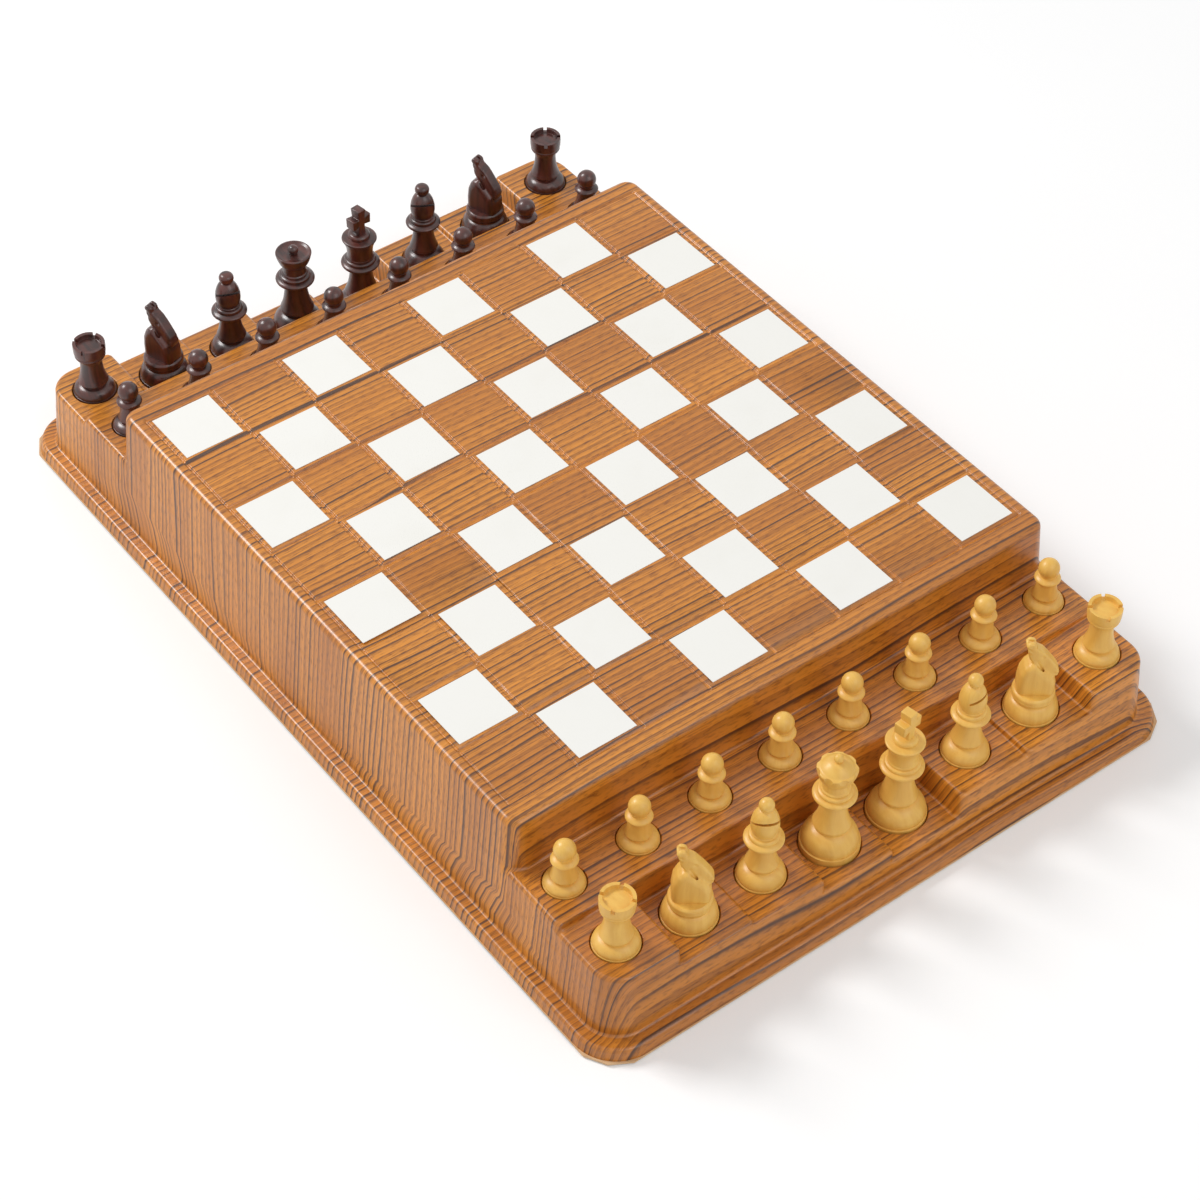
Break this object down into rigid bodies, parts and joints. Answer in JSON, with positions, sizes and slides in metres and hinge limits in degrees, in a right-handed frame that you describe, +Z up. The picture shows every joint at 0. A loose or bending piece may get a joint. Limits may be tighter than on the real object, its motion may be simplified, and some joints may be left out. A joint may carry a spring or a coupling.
{
  "type": "electronic chess computer",
  "caption": "Sensing chess board as a raised wood-grain field on a flanged base, with stepped storage trays of round wells at both ends that hold turned wooden chess pieces.",
  "frame": {"origin": "on the ground under the middle of the board, at the underside of the rubber feet", "axes": "+Z up; +Y along the board's length, from the pale pieces' tray to the dark pieces' tray; +X across it, from the left rook to the right rook as seen from the pale side"},
  "size_m": [0.347, 0.5044, 0.0853],
  "materials": {
    "woodgrain_sheet": "satin wood-grain foil on formed sheet",
    "white_field": "satin",
    "boxwood": "satin varnish",
    "rosewood": "gloss varnish",
    "hardboard": "matte",
    "softwood": "sawn",
    "rubber": "matte",
    "steel": "plated",
    "circuit_board": "satin",
    "reed_glass": "satin",
    "black_plastic": "fine texture",
    "pale_plastic": "satin",
    "grey_cable": "satin",
    "ferrite": "matte",
    "cone_paper": "matte",
    "cell_jacket": "satin"
  },
  "bodies": {
    "board": {"top_shell": "woodgrain_sheet", "white_squares": "white_field", "base_plate": "hardboard", "base_screws": "steel", "rubber_feet": "rubber", "support_posts": "softwood", "shelf_blocks": "softwood", "sensor_board": "circuit_board", "reed_switches": "reed_glass", "main_board": "circuit_board", "main_chips": "black_plastic", "board_spacers": "pale_plastic", "ribbon_cable": "grey_cable", "ribbon_connectors": "black_plastic", "speaker_frame": "steel", "speaker_magnet": "ferrite", "speaker_cone": "cone_paper", "battery_case": "black_plastic", "battery_cells": "cell_jacket", "battery_contacts": "steel", "door_rails": "black_plastic", "power_switch": "black_plastic"},
    "door": {"battery_door": "black_plastic"},
    "knob": {"switch_knob": "pale_plastic"},
    "white_rook_left_body": {"white_rook_left": "boxwood"},
    "white_knight_left_body": {"white_knight_left": "boxwood"},
    "white_bishop_left_body": {"white_bishop_left": "boxwood"},
    "white_queen_body": {"white_queen": "boxwood"},
    "white_king_body": {"white_king": "boxwood"},
    "white_bishop_right_body": {"white_bishop_right": "boxwood"},
    "white_knight_right_body": {"white_knight_right": "boxwood"},
    "white_rook_right_body": {"white_rook_right": "boxwood"},
    "white_pawn_1_body": {"white_pawn_1": "boxwood"},
    "white_pawn_2_body": {"white_pawn_2": "boxwood"},
    "white_pawn_3_body": {"white_pawn_3": "boxwood"},
    "white_pawn_4_body": {"white_pawn_4": "boxwood"},
    "white_pawn_5_body": {"white_pawn_5": "boxwood"},
    "white_pawn_6_body": {"white_pawn_6": "boxwood"},
    "white_pawn_7_body": {"white_pawn_7": "boxwood"},
    "white_pawn_8_body": {"white_pawn_8": "boxwood"},
    "dark_rook_left_body": {"dark_rook_left": "rosewood"},
    "dark_knight_left_body": {"dark_knight_left": "rosewood"},
    "dark_bishop_left_body": {"dark_bishop_left": "rosewood"},
    "dark_queen_body": {"dark_queen": "rosewood"},
    "dark_king_body": {"dark_king": "rosewood"},
    "dark_bishop_right_body": {"dark_bishop_right": "rosewood"},
    "dark_knight_right_body": {"dark_knight_right": "rosewood"},
    "dark_rook_right_body": {"dark_rook_right": "rosewood"},
    "dark_pawn_1_body": {"dark_pawn_1": "rosewood"},
    "dark_pawn_2_body": {"dark_pawn_2": "rosewood"},
    "dark_pawn_3_body": {"dark_pawn_3": "rosewood"},
    "dark_pawn_4_body": {"dark_pawn_4": "rosewood"},
    "dark_pawn_5_body": {"dark_pawn_5": "rosewood"},
    "dark_pawn_6_body": {"dark_pawn_6": "rosewood"},
    "dark_pawn_7_body": {"dark_pawn_7": "rosewood"},
    "dark_pawn_8_body": {"dark_pawn_8": "rosewood"}
  },
  "joints": [
    {"name": "battery_door_slide", "type": "slide", "parent": "board", "child": "door", "axis": [0, 1, 0], "range_m": [0, 0.0536]},
    {"name": "power_switch_slide", "type": "slide", "parent": "board", "child": "knob", "axis": [1, 0, 0], "range_m": [0, 0.005]},
    {"name": "white_rook_left_lift", "type": "slide", "parent": "board", "child": "white_rook_left_body", "axis": [0, 0, 1], "range_m": [0, 0.08]},
    {"name": "white_knight_left_lift", "type": "slide", "parent": "board", "child": "white_knight_left_body", "axis": [0, 0, 1], "range_m": [0, 0.08]},
    {"name": "white_bishop_left_lift", "type": "slide", "parent": "board", "child": "white_bishop_left_body", "axis": [0, 0, 1], "range_m": [0, 0.08]},
    {"name": "white_queen_lift", "type": "slide", "parent": "board", "child": "white_queen_body", "axis": [0, 0, 1], "range_m": [0, 0.08]},
    {"name": "white_king_lift", "type": "slide", "parent": "board", "child": "white_king_body", "axis": [0, 0, 1], "range_m": [0, 0.08]},
    {"name": "white_bishop_right_lift", "type": "slide", "parent": "board", "child": "white_bishop_right_body", "axis": [0, 0, 1], "range_m": [0, 0.08]},
    {"name": "white_knight_right_lift", "type": "slide", "parent": "board", "child": "white_knight_right_body", "axis": [0, 0, 1], "range_m": [0, 0.08]},
    {"name": "white_rook_right_lift", "type": "slide", "parent": "board", "child": "white_rook_right_body", "axis": [0, 0, 1], "range_m": [0, 0.08]},
    {"name": "white_pawn_1_lift", "type": "slide", "parent": "board", "child": "white_pawn_1_body", "axis": [0, 0, 1], "range_m": [0, 0.045]},
    {"name": "white_pawn_2_lift", "type": "slide", "parent": "board", "child": "white_pawn_2_body", "axis": [0, 0, 1], "range_m": [0, 0.045]},
    {"name": "white_pawn_3_lift", "type": "slide", "parent": "board", "child": "white_pawn_3_body", "axis": [0, 0, 1], "range_m": [0, 0.045]},
    {"name": "white_pawn_4_lift", "type": "slide", "parent": "board", "child": "white_pawn_4_body", "axis": [0, 0, 1], "range_m": [0, 0.045]},
    {"name": "white_pawn_5_lift", "type": "slide", "parent": "board", "child": "white_pawn_5_body", "axis": [0, 0, 1], "range_m": [0, 0.045]},
    {"name": "white_pawn_6_lift", "type": "slide", "parent": "board", "child": "white_pawn_6_body", "axis": [0, 0, 1], "range_m": [0, 0.045]},
    {"name": "white_pawn_7_lift", "type": "slide", "parent": "board", "child": "white_pawn_7_body", "axis": [0, 0, 1], "range_m": [0, 0.045]},
    {"name": "white_pawn_8_lift", "type": "slide", "parent": "board", "child": "white_pawn_8_body", "axis": [0, 0, 1], "range_m": [0, 0.045]},
    {"name": "dark_rook_left_lift", "type": "slide", "parent": "board", "child": "dark_rook_left_body", "axis": [0, 0, 1], "range_m": [0, 0.08]},
    {"name": "dark_knight_left_lift", "type": "slide", "parent": "board", "child": "dark_knight_left_body", "axis": [0, 0, 1], "range_m": [0, 0.08]},
    {"name": "dark_bishop_left_lift", "type": "slide", "parent": "board", "child": "dark_bishop_left_body", "axis": [0, 0, 1], "range_m": [0, 0.08]},
    {"name": "dark_queen_lift", "type": "slide", "parent": "board", "child": "dark_queen_body", "axis": [0, 0, 1], "range_m": [0, 0.08]},
    {"name": "dark_king_lift", "type": "slide", "parent": "board", "child": "dark_king_body", "axis": [0, 0, 1], "range_m": [0, 0.08]},
    {"name": "dark_bishop_right_lift", "type": "slide", "parent": "board", "child": "dark_bishop_right_body", "axis": [0, 0, 1], "range_m": [0, 0.08]},
    {"name": "dark_knight_right_lift", "type": "slide", "parent": "board", "child": "dark_knight_right_body", "axis": [0, 0, 1], "range_m": [0, 0.08]},
    {"name": "dark_rook_right_lift", "type": "slide", "parent": "board", "child": "dark_rook_right_body", "axis": [0, 0, 1], "range_m": [0, 0.08]},
    {"name": "dark_pawn_1_lift", "type": "slide", "parent": "board", "child": "dark_pawn_1_body", "axis": [0, 0, 1], "range_m": [0, 0.045]},
    {"name": "dark_pawn_2_lift", "type": "slide", "parent": "board", "child": "dark_pawn_2_body", "axis": [0, 0, 1], "range_m": [0, 0.045]},
    {"name": "dark_pawn_3_lift", "type": "slide", "parent": "board", "child": "dark_pawn_3_body", "axis": [0, 0, 1], "range_m": [0, 0.045]},
    {"name": "dark_pawn_4_lift", "type": "slide", "parent": "board", "child": "dark_pawn_4_body", "axis": [0, 0, 1], "range_m": [0, 0.045]},
    {"name": "dark_pawn_5_lift", "type": "slide", "parent": "board", "child": "dark_pawn_5_body", "axis": [0, 0, 1], "range_m": [0, 0.045]},
    {"name": "dark_pawn_6_lift", "type": "slide", "parent": "board", "child": "dark_pawn_6_body", "axis": [0, 0, 1], "range_m": [0, 0.045]},
    {"name": "dark_pawn_7_lift", "type": "slide", "parent": "board", "child": "dark_pawn_7_body", "axis": [0, 0, 1], "range_m": [0, 0.045]},
    {"name": "dark_pawn_8_lift", "type": "slide", "parent": "board", "child": "dark_pawn_8_body", "axis": [0, 0, 1], "range_m": [0, 0.045]}
  ]
}
